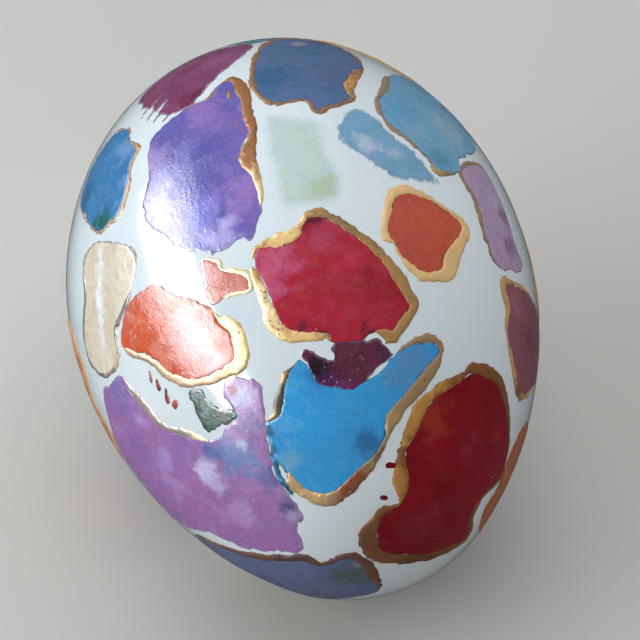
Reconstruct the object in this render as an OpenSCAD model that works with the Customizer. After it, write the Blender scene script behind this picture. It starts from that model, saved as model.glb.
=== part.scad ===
// Hand-painted hollow porcelain egg, lying on its side with its pointed end towards -Y.
// A slip-cast shell under a clear glaze carries flat patches of coloured enamel,
// and most patches are outlined with a brushed line of gold of uneven width.

/* [Egg] */
// Largest diameter, over the glaze
egg_d = 50; // [44:1:60]
// Length from the widest section to the pointed tip
tip_length = 35.5; // [33:0.5:38]
// Length from the widest section to the blunt end
butt_length = 29.5; // [28:0.5:31]
// Nose radius of the pointed end
tip_r = 17; // [14:0.5:19]
// Nose radius of the blunt end
butt_r = 23; // [20:0.5:24]
// Angle by which the pointed end dips when the egg lies at rest
rest_tilt = 6; // [0:1:8]

/* [Shell] */
// Thickness of the porcelain
wall = 2.5; // [1.5:0.5:4]
// Thickness of the clear glaze
glaze_t = 0.2; // [0.1:0.1:0.4]
// Diameter of the casting vent in the blunt end
vent_d = 6; // [3:1:8]

/* [Decoration] */
// Height of the enamel above the glaze
enamel_t = 0.1; // [0.05:0.05:0.2]
// Height of the gold above the glaze
gold_t = 0.2; // [0.1:0.05:0.4]

/* [Hidden] */
$fn = 96;

// The profile of each half is a long side arc that runs into a round nose.
egg_r = egg_d/2;
tip_side_r = side_radius(tip_length, tip_r);
butt_side_r = side_radius(butt_length, butt_r);
// Stations where the side arc meets the nose, from the widest section
tip_joint = (tip_length - tip_r)*tip_side_r/(tip_side_r - tip_r);
butt_joint = (butt_length - butt_r)*butt_side_r/(butt_side_r - butt_r);
// At rest the egg touches the table under the centre of the pointed half's side arc.
centre_height = tip_side_r - (tip_side_r - egg_r)*cos(rest_tilt);
nose_gap = tip_length - tip_r - butt_length + butt_r;
centre_y = (nose_gap*cos(rest_tilt) + tip_r - butt_r)/2;

patch_depth = 16; // how far a patch may curve away below its crown
patch_rise = 1;
curve_steps = 4; // straight steps between two outline points
beyond = 100; // longer than the egg in every direction
gold = [0.83, 0.62, 0.24];

// Each patch has a place: its station along the axis from the widest section, positive
// towards the pointed end, and its angle round the axis from the top, positive towards +X.
// Its outline is drawn on the tangent plane there, x round the egg and y towards the
// blunt end, and each line of gold has one width for each outline point that it passes.

teal_place = [-22, 5];
teal = [[-2, -1], [1, -0.5], [4, 1], [5, 3.5], [2, 6.5], [-1.5, 6], [-3, 3]];

burgundy_place = [-18, -20];
burgundy = [[6, 4], [3, 5.5], [-2, 5.5], [-6, 3.5], [-7, 1], [-5.5, -3], [-4, -6], [-1.5, -7],
  [0.5, -5.5], [3, -2.5], [5.5, 1]];

slate_place = [-12, 10];
slate = [[0.5, 10.5], [-2, 8.5], [-4.5, 4], [-6, -0.5], [-6, -3], [-5, -4.5], [-2, -5],
  [-1.5, -7], [-0.5, -6.5], [2.5, -5.5], [2.5, -3], [4.5, 0], [6.5, 2], [6.5, 6], [5, 9], [3, 10.5]];
slate_line = [0.7, 0.6, 0.7, 0.6, 0.4, 0.5, 0.4, 0.5, 0.5, 0.4, 1.5, 1.3, 0.3, 0.4, 0.5, 0.6];

violet_place = [-3, -25];
violet = [[5.5, 10], [6, 6.5], [6, 3.5], [6, 1.5], [4.5, -1.5], [5, -4], [5, -6.5], [4.5, -8.5],
  [3, -10.5], [2, -10], [0.5, -10.5], [-1.5, -10], [-3.5, -8.5], [-5, -6.5], [-6.5, -3.5],
  [-6.5, -0.5], [-5.5, 1.5], [-4.5, 6], [-3, 7.5], [0, 8.5], [3, 8.5], [4, 10], [5, 10.5]];
violet_line = [0.2, 0.3, 0.3, 0.4, 1, 1.3, 0.8, 1, 1.7, 1, 0.8, 0.6];

steel_blue_place = [-9, -50];
steel_blue = [[2.5, 5.5], [3, 3], [4, 1], [3, -1], [2.5, -3], [1, -5.5], [-1, -5.5],
  [-3, -5], [-5.5, 0], [-6.5, 3.5], [-4, 7], [0, 7.5]];
steel_blue_line = [0.3, 0.3, 0.6, 0.4, 0.5, 0.5, 0.5, 0.4, 0.4, 0.3, 0.3, 0.3];

tan_place = [4, -60];
tan_blot = [[0, 7], [3, 5], [5, 3], [5.5, 1], [4, -1], [2, -2], [0.5, -2.5], [-1, -3],
  [-2, -5], [-4.5, -5.5], [-7, -4], [-8, -1], [-6, 1.5], [-3.5, 3.5], [-2.5, 6.5]];
tan_line = [0.2, 0.2, 0.2, 0.2, 0.2, 0.4, 0.4, 0.5, 0.6, 0.5, 0.4, 0.4, 0.4, 0.3, 0.3];

orange_place = [12, -45];
orange = [[-0.5, 5.5], [-4, 5.5], [-5.5, 4.5], [-7, 3], [-6, 1.5], [-4, -0.5], [-2.5, -3.5],
  [0, -5.5], [3.5, -6], [4.5, -5.5], [5, -3.5], [4.5, -2], [4.5, -0.5], [3, 1.5], [1, 4]];
orange_line = [0.3, 0.8, 0.9, 0.8, 0.9, 1.4, 1.4, 1.5, 1.3, 0.4];

salmon_place = [10, -30];
salmon = [[-0.5, 2.5], [1, 1.5], [1, 0.5], [3, -1], [3, -2.5], [1.5, -2], [0, -2], [-1, -2],
  [-1, 0]];
salmon_line = [0.2, 0.4, 0.5, 0.5, 0.2, 0.5, 0.3];

crimson_place = [14, -5];
crimson = [[-6, 3.5], [-5, 5], [-3, 4.5], [-1, 5], [0, 6.5], [1.5, 6.5], [3.5, 4.5], [5.5, 2],
  [6.5, -0.5], [7.5, -3.5], [7.5, -4.5], [5.5, -6], [4.5, -6], [3.5, -6], [2, -6.5], [-0.5, -6],
  [-1, -5], [-4, -4], [-5, -2.5], [-5.5, 1.5]];
crimson_line = [1.6, 1.4, 1.1, 1.4, 1.1, 0.3, 0.3, 1.4, 1.2, 0.2, 1.1, 0.8, 0.9, 1.2, 1, 0.8, 1.3,
  2, 1.6];

maroon_place = [22, -5];
maroon = [[-3.5, 2.5], [-2, 1.5], [-1, 1], [-0.5, 2.5], [2, 2], [3.5, 2], [4.5, 0.5], [4.5, 0],
  [2.5, -1], [0.5, -2], [-0.5, -2], [-3, -0.5], [-3.5, 1]];

azure_place = [25, -10];
azure = [[-2.5, 5.5], [-4, 4.5], [-5, 2.5], [-6, 1], [-7.5, 0.5], [-7.5, -0.5], [-7.5, -2.5],
  [-7, -4], [-6, -6], [-4, -7.5], [-2, -7], [1, -5.5], [3, -4], [4, -2], [8, 0.5], [10.5, 2],
  [10.5, 3], [9.5, 3.5], [7, 3.5], [4.5, 2], [2, 1.5], [1, 1.5], [-1.5, 3], [-2, 4.5]];
azure_line = [0.5, 1, 1.3, 1, 0.1, 0.1, 0.1, 0.5, 1.1, 1.4, 1.4, 0.8, 0.5, 1.3, 1.4, 0.7, 0.9,
  1.2, 0.8];

mint_place = [1, 0];
mint = [[-2.5, 7.5], [0.5, 6], [3, 4.5], [2.5, 1], [3, -3], [1.5, -5.5], [-1.5, -5.5],
  [-4, -5], [-4, 0], [-3.5, 5]];

cloud_blue_place = [0, 20];
cloud_blue = [[-4.5, 2.5], [-2.5, 5], [-0.5, 4.5], [1, 1.5], [2.5, -0.5], [4.5, -3], [4.5, -4.5],
  [2, -4.5], [-1, -3.5], [-3, -1.5], [-4.5, 0.5]];

sky_blue_place = [-4, 35];
sky_blue = [[0.5, 9], [-2.5, 5], [-5, 2], [-5, -1], [-3.5, -3], [-1.5, -5.5], [-1, -6.5],
  [2, -6], [3, -4], [7.5, -0.5], [9.5, 4], [8, 7.5], [5.5, 10.5]];
sky_blue_line = [0.7, 0.9, 0.5, 0.5, 0.3, 0.5, 0.9, 0.4];

brick_place = [10, 25];
brick = [[-2, 4], [0.5, 3.5], [2.5, 2.5], [4.5, 1], [3, -1], [1.5, -2.5], [1, -4], [0, -4.5],
  [-1.5, -4.5], [-3.5, -3], [-4, -1.5], [-4.5, -0.5], [-3.5, 2.5]];
brick_line = [0.9, 0.7, 0.6, 0.9, 1.5, 1.9, 1.5, 0.9, 0.9, 0.2, 0.3, 0.8, 0.9];

lilac_place = [6, 50];
lilac = [[-2.5, 5.5], [1, 6.5], [2.5, 3.5], [3.5, -1], [5, -4], [0.5, -6], [-1.5, -5.5],
  [-2, -4], [-2.5, -3], [-2.5, -1], [-3, 1.5], [-4, 3.5]];
lilac_line = [0.3, 0.5, 0.5, 0.5, 0.8, 0.5, 0.5, 0.3, 0.3, 0.3];

plum_place = [17, 65];
plum = [[-4.5, 4], [1, 5], [6.5, 4], [6.5, -0.5], [4.5, -3.5], [0.5, -6], [-2.5, -4],
  [-4.5, -1.5], [-4.5, 1], [-5.5, 3]];
plum_line = [0.5, 0.9, 0.6, 0.5, 0.9, 1.1, 0.6, 0.4];

garnet_place = [29, 40];
garnet = [[-0.5, 7.5], [2, 7.5], [4, 6.5], [7, 2.5], [8, -1.5], [5, -4], [4.5, -6.5], [6, -8.5],
  [2.5, -10.5], [-1.5, -11.5], [-4, -11.5], [-5.5, -10], [-6, -8], [-5, -6.5], [-5.5, -4],
  [-6.5, -1.5], [-6, 1], [-5.5, 3], [-4, 5], [-2, 6.5]];
garnet_line = [1.1, 1.1, 0.9, 0.6, 0.3, 0.7, 0.8, 0.8, 0.9, 1.2, 1.3, 1.6, 1.1, 0.3, 1.5, 0.7, 1.1,
  1.4, 0.9, 0.9];

apricot_place = [27, 90];
apricot = [[-3, 4], [0, 6], [4, 5], [6.5, 1], [6, -4], [2.5, -6.5], [-1.5, -6.5], [-2, -3.5],
  [-3.5, 0]];
apricot_line = [0.3, 0.4, 0.4, 0.4, 0.4];

amethyst_place = [21, -65];
amethyst = [[-4.5, 11.5], [-1.5, 10.5], [-1.5, 9], [-1, 5.5], [-0.5, 3.5], [1.5, 1], [3.5, -1.5],
  [6, -2], [7.5, -2], [8, 0.5], [9, 1.5], [10.5, 0.5], [11, -1.5], [9, -4], [7.5, -5.5],
  [6, -7.5], [4.5, -11], [4, -12.5], [2.5, -13], [0, -15], [-2, -13], [-5.5, -10], [-8, -6],
  [-12, -3], [-13, 1.5], [-12, 7], [-8.5, 10.5], [-7, 11.5]];
amethyst_line = [0.3, 0.8, 0.9, 0.8, 0.7, 0.5];

moss_place = [20, -45];
moss = [[-2, 2.5], [-1, 2], [-0.5, 0.5], [1, -1.5], [0, -2], [-2.5, -1.5], [-2.5, 0.5]];

lavender_place = [31, -100];
lavender = [[-2, 10], [0, 6], [1.5, 2], [4, -3.5], [3.5, -5.5], [4.5, -7.5], [4.5, -8.5],
  [2, -9.5], [-2.5, -10], [-4.5, -6.5], [-6, -2.5], [-7, 1.5], [-6, 7]];
lavender_line = [0.6, 0.8, 1, 1, 0.6, 0.7, 0.6, 1, 0.9];

cobalt_place = [-13, 92];
cobalt = [[-5, 5], [-1, 7], [4, 6], [6.5, 2], [6, -3], [3, -6.5], [-1, -5.5], [-4.5, -6],
  [-6, -2], [-5.5, 2]];

rose_place = [-22, 56];
rose = [[-7, -0.5], [-5.5, 4], [-2, 5.5], [3, 5], [6, 2], [5.5, -3], [2.5, -6.5], [-1, -8],
  [-3.5, -7], [-5, -4]];

ochre_place = [-15, 146];
ochre = [[-4, 6], [0, 4.5], [4, 6.5], [6, 3], [5.5, -2], [6.5, -5], [2, -7], [-3, -6],
  [-6.5, -3.5], [-5, 1]];

jade_place = [-14, 220];
jade = [[-6.5, 2], [-4, 6], [1, 7], [4.5, 4.5], [5, 0], [6.5, -4], [3, -6.5], [-2, -5.5],
  [-5.5, -6], [-5.5, -2]];

scarlet_place = [3, 95];
scarlet = [[-7, 4], [-4, 8], [0, 7], [5, 8], [8, 4], [6.5, -1], [8, -6], [3, -8], [-2, -7],
  [-5.5, -7], [-7, -3], [-6, 0]];

turquoise_place = [3, 140];
turquoise = [[-7, 1], [-5, 6], [-1, 8], [4, 6.5], [7.5, 7], [8, 0], [5.5, -4], [6, -8],
  [0, -9], [-4, -7], [-7.5, -5]];

mauve_place = [3, 212];
mauve = [[-8, 5], [-3, 6.5], [1, 8.5], [6, 7], [7.5, 2], [6, -2], [8, -7], [2, -8], [-3, -9],
  [-6, -5], [-7.5, -1]];

peach_place = [3, 255];
peach = [[-6, 7], [-1, 8.5], [4, 7], [7, 4], [7.5, -1], [5, -4], [4.5, -8], [-1, -7.5],
  [-6, -8], [-8, -3], [-6, 2]];

indigo_place = [22, 140];
indigo = [[-5, 5], [0, 6.5], [5, 5.5], [6.5, 1], [5, -4], [1, -7], [-3, -6], [-6, -3],
  [-6.5, 2]];

olive_place = [22, 200];
olive = [[-6, 4], [-2, 6], [3, 5], [6.5, 6], [7, 0], [4.5, -4.5], [0, -6], [-4, -7], [-6, -2]];

function side_radius(length, nose) =
  (egg_r*egg_r + pow(length - nose, 2) - nose*nose)/(2*(egg_r - nose));

// The sine of the angle between the surface's normal and the radial direction
function lean_sine(station) =
  station > tip_joint ? (station - tip_length + tip_r)/tip_r
  : station >= 0 ? station/tip_side_r
  : station >= -butt_joint ? station/butt_side_r
  : (station + butt_length - butt_r)/butt_r;

function radius_at(station) =
  let (c = sqrt(1 - pow(lean_sine(station), 2)))
  station > tip_joint ? tip_r*c
  : station >= 0 ? egg_r - tip_side_r*(1 - c)
  : station >= -butt_joint ? egg_r - butt_side_r*(1 - c)
  : butt_r*c;

function around(list, i) = list[(i + len(list)) % len(list)];

// A smooth closed curve through every point of a list, or through every width of one
function blend(a, b, c, d, t) =
  0.5*(2*b + (c - a)*t + (2*a - 5*b + 4*c - d)*t*t + (3*b - a - 3*c + d)*t*t*t);

function curve(list) = [
  for (i = [0:len(list) - 1], k = [0:curve_steps - 1])
    blend(around(list, i - 1), list[i], around(list, i + 1), around(list, i + 2), k/curve_steps)
];

function turning(p, i = 0) =
  i == len(p) ? 0 : cross(p[i], around(p, i + 1)) + turning(p, i + 1);

function outward(p, i) =
  let (d = around(p, i + 1) - around(p, i - 1))
  sign(turning(p))*[d.y, -d.x]/norm(d);

function widened(p, widths) = [for (i = [0:len(p) - 1]) p[i] + widths[i]*outward(p, i)];

// A width for each outline point, uneven as a brush leaves it
function brushed(outline, mean) = [for (i = [0:len(outline) - 1]) mean*(1 + 0.35*sin(137*i))];

// Width at a share of the way along an open line, which tapers to a point at both ends
function width_along(line, share) =
  let (at = share*(len(line) - 1), i = min(floor(at), len(line) - 2), k = at - i)
  (line[i]*(1 - k) + line[i + 1]*k)*(1 - pow(2*share - 1, 8));

module half_section(length, nose, side_r, joint, grow) {
  cut = joint + grow*(length - nose)/(side_r - nose);
  intersection() {
    translate([egg_r - side_r, 0]) circle(side_r + grow);
    square([beyond, cut]);
  }
  intersection() {
    translate([0, length - nose]) circle(nose + grow);
    translate([0, cut]) square(beyond);
  }
}

// The whole egg, its surface moved outwards by grow, upright on its axis
module egg_solid(grow) {
  rotate_extrude() {
    half_section(tip_length, tip_r, tip_side_r, tip_joint, grow);
    mirror([0, 1]) half_section(butt_length, butt_r, butt_side_r, butt_joint, grow);
  }
}

module layer(inner, outer) {
  difference() {
    egg_solid(outer);
    egg_solid(inner);
  }
}

module vent() {
  translate([0, 0, -beyond]) cylinder(d = vent_d, h = beyond);
}

module lying() {
  translate([0, centre_y, centre_height]) rotate([90 + rest_tilt, 0, 0]) children();
}

// A flat shape on the tangent plane at a place, driven through the surface
module stamp(place) {
  rotate([0, 0, -place[1]])
    translate([0, radius_at(place[0]), place[0]])
      rotate([asin(lean_sine(place[0])) - 90, 0, 0])
        translate([0, 0, -patch_depth])
          linear_extrude(patch_depth + patch_rise) children();
}

module enamel(place, outline) {
  lying() intersection() {
    layer(0, enamel_t);
    stamp(place) polygon(curve(outline));
  }
}

module gold_ring(place, outline, line) {
  edge = curve(outline);
  lying() intersection() {
    layer(0, gold_t);
    stamp(place) difference() {
      polygon(widened(edge, curve(line)));
      polygon(edge);
    }
  }
}

// A line of gold beside the outline, from one of its points on
module gold_line(place, outline, line, first) {
  edge = curve(outline);
  steps = (len(line) - 1)*curve_steps;
  start = first*curve_steps;
  inner = [for (i = [0:steps]) around(edge, start + i)];
  outer = [
    for (i = [steps - 1:-1:1])
      around(edge, start + i)
        + width_along(line, i/steps)*outward(edge, (start + i) % len(edge))
  ];
  lying() intersection() {
    layer(0, gold_t);
    stamp(place) polygon(concat(inner, outer));
  }
}

module porcelain_shell() {
  color([0.93, 0.94, 0.93]) lying() difference() {
    layer(-glaze_t - wall, -glaze_t);
    vent();
  }
}

module clear_glaze() {
  color([0.8, 0.9, 0.9, 0.5]) lying() difference() {
    layer(-glaze_t, 0);
    vent();
  }
}

module teal_enamel() {
  color([0.2, 0.45, 0.5]) enamel(teal_place, teal);
}

module burgundy_enamel() {
  color([0.5, 0.22, 0.36]) enamel(burgundy_place, burgundy);
}

module slate_enamel() {
  color([0.26, 0.38, 0.55]) enamel(slate_place, slate);
}

module violet_enamel() {
  color([0.4, 0.34, 0.66]) enamel(violet_place, violet);
}

module steel_blue_enamel() {
  color([0.22, 0.48, 0.64]) enamel(steel_blue_place, steel_blue);
}

module tan_enamel() {
  color([0.78, 0.66, 0.54]) enamel(tan_place, tan_blot);
}

module orange_enamel() {
  color([0.86, 0.34, 0.17]) enamel(orange_place, orange);
}

module salmon_enamel() {
  color([0.8, 0.4, 0.36]) enamel(salmon_place, salmon);
}

module crimson_enamel() {
  color([0.68, 0.13, 0.22]) enamel(crimson_place, crimson);
}

module maroon_enamel() {
  color([0.38, 0.13, 0.26]) enamel(maroon_place, maroon);
}

module azure_enamel() {
  color([0.2, 0.57, 0.8]) enamel(azure_place, azure);
}

module mint_enamel() {
  color([0.83, 0.9, 0.8]) enamel(mint_place, mint);
}

module cloud_blue_enamel() {
  color([0.45, 0.66, 0.76]) enamel(cloud_blue_place, cloud_blue);
}

module sky_blue_enamel() {
  color([0.36, 0.6, 0.72]) enamel(sky_blue_place, sky_blue);
}

module brick_enamel() {
  color([0.72, 0.3, 0.18]) enamel(brick_place, brick);
}

module lilac_enamel() {
  color([0.6, 0.48, 0.63]) enamel(lilac_place, lilac);
}

module plum_enamel() {
  color([0.42, 0.21, 0.29]) enamel(plum_place, plum);
}

module garnet_enamel() {
  color([0.5, 0.07, 0.11]) enamel(garnet_place, garnet);
}

module apricot_enamel() {
  color([0.76, 0.38, 0.17]) enamel(apricot_place, apricot);
}

module amethyst_enamel() {
  color([0.52, 0.34, 0.58]) enamel(amethyst_place, amethyst);
}

module moss_enamel() {
  color([0.12, 0.28, 0.18]) enamel(moss_place, moss);
}

module lavender_enamel() {
  color([0.43, 0.46, 0.62]) enamel(lavender_place, lavender);
}

module cobalt_enamel() {
  color([0.15, 0.28, 0.6]) enamel(cobalt_place, cobalt);
}

module rose_enamel() {
  color([0.78, 0.36, 0.46]) enamel(rose_place, rose);
}

module ochre_enamel() {
  color([0.78, 0.56, 0.2]) enamel(ochre_place, ochre);
}

module jade_enamel() {
  color([0.22, 0.52, 0.4]) enamel(jade_place, jade);
}

module scarlet_enamel() {
  color([0.78, 0.16, 0.13]) enamel(scarlet_place, scarlet);
}

module turquoise_enamel() {
  color([0.16, 0.6, 0.66]) enamel(turquoise_place, turquoise);
}

module mauve_enamel() {
  color([0.55, 0.36, 0.52]) enamel(mauve_place, mauve);
}

module peach_enamel() {
  color([0.88, 0.56, 0.4]) enamel(peach_place, peach);
}

module indigo_enamel() {
  color([0.22, 0.2, 0.5]) enamel(indigo_place, indigo);
}

module olive_enamel() {
  color([0.42, 0.48, 0.2]) enamel(olive_place, olive);
}

module slate_gold() {
  color(gold) gold_ring(slate_place, slate, slate_line);
}

module violet_gold() {
  color(gold) gold_line(violet_place, violet, violet_line, 19);
}

module steel_blue_gold() {
  color(gold) gold_ring(steel_blue_place, steel_blue, steel_blue_line);
}

module tan_gold() {
  color(gold) gold_ring(tan_place, tan_blot, tan_line);
}

module orange_gold() {
  color(gold) gold_line(orange_place, orange, orange_line, 3);
}

module salmon_gold() {
  color(gold) gold_line(salmon_place, salmon, salmon_line, 0);
}

module crimson_gold() {
  color(gold) gold_line(crimson_place, crimson, crimson_line, 15);
}

module azure_gold() {
  color(gold) gold_line(azure_place, azure, azure_line, 0);
}

module sky_blue_gold() {
  color(gold) gold_line(sky_blue_place, sky_blue, sky_blue_line, 0);
}

module brick_gold() {
  color(gold) gold_ring(brick_place, brick, brick_line);
}

module lilac_gold() {
  color(gold) gold_line(lilac_place, lilac, lilac_line, 5);
}

module plum_gold() {
  color(gold) gold_line(plum_place, plum, plum_line, 4);
}

module garnet_gold() {
  color(gold) gold_ring(garnet_place, garnet, garnet_line);
}

module apricot_gold() {
  color(gold) gold_line(apricot_place, apricot, apricot_line, 5);
}

module amethyst_gold() {
  color(gold) gold_line(amethyst_place, amethyst, amethyst_line, 1);
}

module lavender_gold() {
  color(gold) gold_line(lavender_place, lavender, lavender_line, 0);
}

module cobalt_gold() {
  color(gold) gold_ring(cobalt_place, cobalt, brushed(cobalt, 0.7));
}

module rose_gold() {
  color(gold) gold_ring(rose_place, rose, brushed(rose, 0.8));
}

module ochre_gold() {
  color(gold) gold_ring(ochre_place, ochre, brushed(ochre, 0.7));
}

module jade_gold() {
  color(gold) gold_ring(jade_place, jade, brushed(jade, 0.9));
}

module scarlet_gold() {
  color(gold) gold_ring(scarlet_place, scarlet, brushed(scarlet, 0.8));
}

module turquoise_gold() {
  color(gold) gold_ring(turquoise_place, turquoise, brushed(turquoise, 0.7));
}

module mauve_gold() {
  color(gold) gold_ring(mauve_place, mauve, brushed(mauve, 0.8));
}

module peach_gold() {
  color(gold) gold_ring(peach_place, peach, brushed(peach, 0.7));
}

module indigo_gold() {
  color(gold) gold_ring(indigo_place, indigo, brushed(indigo, 0.8));
}

module olive_gold() {
  color(gold) gold_ring(olive_place, olive, brushed(olive, 0.7));
}

porcelain_shell();
clear_glaze();
teal_enamel();
burgundy_enamel();
slate_enamel();
violet_enamel();
steel_blue_enamel();
tan_enamel();
orange_enamel();
salmon_enamel();
crimson_enamel();
maroon_enamel();
azure_enamel();
mint_enamel();
cloud_blue_enamel();
sky_blue_enamel();
brick_enamel();
lilac_enamel();
plum_enamel();
garnet_enamel();
apricot_enamel();
amethyst_enamel();
moss_enamel();
lavender_enamel();
cobalt_enamel();
rose_enamel();
ochre_enamel();
jade_enamel();
scarlet_enamel();
turquoise_enamel();
mauve_enamel();
peach_enamel();
indigo_enamel();
olive_enamel();
slate_gold();
violet_gold();
steel_blue_gold();
tan_gold();
orange_gold();
salmon_gold();
crimson_gold();
azure_gold();
sky_blue_gold();
brick_gold();
lilac_gold();
plum_gold();
garnet_gold();
apricot_gold();
amethyst_gold();
lavender_gold();
cobalt_gold();
rose_gold();
ochre_gold();
jade_gold();
scarlet_gold();
turquoise_gold();
mauve_gold();
peach_gold();
indigo_gold();
olive_gold();
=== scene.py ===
import math

import bpy
import numpy as np
from mathutils import Matrix, Vector


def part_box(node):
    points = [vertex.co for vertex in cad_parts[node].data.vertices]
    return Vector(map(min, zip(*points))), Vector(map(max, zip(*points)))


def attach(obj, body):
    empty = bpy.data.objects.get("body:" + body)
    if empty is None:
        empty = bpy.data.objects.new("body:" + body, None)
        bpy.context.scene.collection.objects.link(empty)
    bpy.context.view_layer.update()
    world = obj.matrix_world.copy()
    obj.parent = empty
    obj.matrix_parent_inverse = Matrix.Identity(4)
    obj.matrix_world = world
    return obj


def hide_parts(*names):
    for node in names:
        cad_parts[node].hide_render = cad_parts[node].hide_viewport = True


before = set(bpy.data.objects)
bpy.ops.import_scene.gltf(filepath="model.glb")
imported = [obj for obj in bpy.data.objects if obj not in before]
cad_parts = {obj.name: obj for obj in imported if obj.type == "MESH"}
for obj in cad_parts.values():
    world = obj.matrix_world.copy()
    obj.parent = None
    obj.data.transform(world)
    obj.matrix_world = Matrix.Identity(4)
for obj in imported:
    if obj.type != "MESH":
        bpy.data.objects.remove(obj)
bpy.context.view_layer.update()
mm = 0.001


# the egg's shape, millimetres and degrees, axis along z with the pointed end up
egg = {
    "width": 50,
    "tipLength": 35.5, "tipNose": 17,
    "buttLength": 29.5, "buttNose": 23,
    "dip": 6,  # how far the pointed end hangs at rest
    "glaze": 0.2, "wall": 2.5, "vent": 6, "lip": 0.08,
    "turns": 240, "outerSteps": 80, "innerSteps": 30,
}


def halfProfile(length, nose):
    radius = egg["width"] / 2
    side = (radius**2 + (length - nose)**2 - nose**2) / (2 * (radius - nose))
    return {"nose": nose, "stem": length - nose, "side": side, "back": side - radius,
            "joint": math.asin((length - nose) / (side - nose))}


tipHalf = halfProfile(egg["tipLength"], egg["tipNose"])
buttHalf = halfProfile(egg["buttLength"], egg["buttNose"])
dip = math.radians(egg["dip"])
centreHeight = tipHalf["side"] - tipHalf["back"] * math.cos(dip)
noseGap = tipHalf["stem"] - buttHalf["stem"]
centreAlong = (noseGap * math.cos(dip) + egg["tipNose"] - egg["buttNose"]) / 2
lying = Matrix.Translation((0, centreAlong, centreHeight)) @ Matrix.Rotation(math.pi / 2 + dip, 4, "X")
lyingTurn = np.array(lying.to_3x3())
lyingShift = np.array(lying.translation)


def toEgg(points):
    # from the shared frame to the egg's own axes, mm
    return (points - lyingShift) @ lyingTurn


def toRow(points):
    return points @ lyingTurn.T + lyingShift


def surfaceUnder(points):
    # height over the glaze and outward normal there, in the egg's own axes
    across = np.hypot(points[:, 0], points[:, 1])
    gap, sine, cosine = (np.zeros(len(points)) for _ in range(3))
    for half, side in ((tipHalf, 1), (buttHalf, -1)):
        station = points[:, 2] * side
        own = (station >= 0) if side > 0 else (station > 0)
        angle = np.arctan2(station, across + half["back"])
        onSide = own & (angle <= half["joint"])
        onNose = own & (angle > half["joint"])
        reach = np.hypot(across + half["back"], station)
        gap[onSide] = (reach - half["side"])[onSide]
        sine[onSide] = (side * station / reach)[onSide]
        cosine[onSide] = ((across + half["back"]) / reach)[onSide]
        reach = np.hypot(across, station - half["stem"]) + 1e-9
        gap[onNose] = (reach - half["nose"])[onNose]
        sine[onNose] = (side * (station - half["stem"]) / reach)[onNose]
        cosine[onNose] = (across / reach)[onNose]
    unit = points[:, :2] / (across[:, None] + 1e-9)
    return gap, np.column_stack([unit * cosine[:, None], sine])


def profileArc(grow, start, stop, steps):
    # points (across, along) of the profile moved out by grow, by the lean of its normal
    points = []
    for lean in np.linspace(start, stop, steps):
        half, side = (tipHalf, 1) if lean >= 0 else (buttHalf, -1)
        lean = abs(lean)
        if lean <= half["joint"]:
            reach = half["side"] + grow
            points.append((reach * math.cos(lean) - half["back"], side * reach * math.sin(lean)))
        else:
            reach = half["nose"] + grow
            points.append((reach * math.cos(lean), side * (half["stem"] + reach * math.sin(lean))))
    return points


# small helpers for modelling

def clearSelection():
    bpy.ops.object.select_all(action="DESELECT")


def editSelected(obj, mask):
    # enters edit mode with only these vertices selected
    mesh = obj.data
    mesh.vertices.foreach_set("select", np.asarray(mask, bool))
    mesh.edges.foreach_set("select", np.zeros(len(mesh.edges), bool))
    mesh.polygons.foreach_set("select", np.zeros(len(mesh.polygons), bool))
    bpy.ops.object.mode_set(mode="EDIT")
    bpy.ops.mesh.select_mode(type="VERT")


def readPoints(mesh):
    flat = np.zeros(len(mesh.vertices) * 3)
    mesh.vertices.foreach_get("co", flat)
    return flat.reshape(-1, 3)


def writePoints(mesh, points):
    mesh.vertices.foreach_set("co", np.ascontiguousarray(points, np.float32).ravel())
    mesh.update()


def applyModifiers(obj):
    bpy.context.view_layer.objects.active = obj
    for modifier in list(obj.modifiers):
        bpy.ops.object.modifier_apply(modifier=modifier.name)


def unevenness(x, y, size, seed):
    # smooth random field from -1 to 1 with bumps of that size in mm
    lattice = np.random.default_rng(seed).random((64, 64)) * 2 - 1
    u, v = x / size + 31.3, y / size + 17.7
    i, j = np.floor(u).astype(int), np.floor(v).astype(int)
    fu, fv = u - i, v - j
    fu, fv = fu * fu * (3 - 2 * fu), fv * fv * (3 - 2 * fv)
    i0, i1, j0, j1 = i % 64, (i + 1) % 64, j % 64, (j + 1) % 64
    low = lattice[j0, i0] * (1 - fu) + lattice[j0, i1] * fu
    high = lattice[j1, i0] * (1 - fu) + lattice[j1, i1] * fu
    return low * (1 - fv) + high * fv


# shader expressions

def tint(r, g, b):
    # a colour given as 0 to 255, made linear
    return tuple(((c / 255 + 0.055) / 1.055) ** 2.4 if c > 10 else c / 3294.6 for c in (r, g, b)) + (1,)


class Wire:
    def __init__(self, paint, socket):
        self.paint = paint
        self.socket = socket

    def join(self, operation, first, second):
        return self.paint.node("ShaderNodeMath", {"operation": operation}, {0: first, 1: second})

    def __add__(self, other):
        return self.join("ADD", self, other)

    __radd__ = __add__

    def __sub__(self, other):
        return self.join("SUBTRACT", self, other)

    def __rsub__(self, other):
        return self.join("SUBTRACT", other, self)

    def __mul__(self, other):
        return self.join("MULTIPLY", self, other)

    __rmul__ = __mul__


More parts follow.
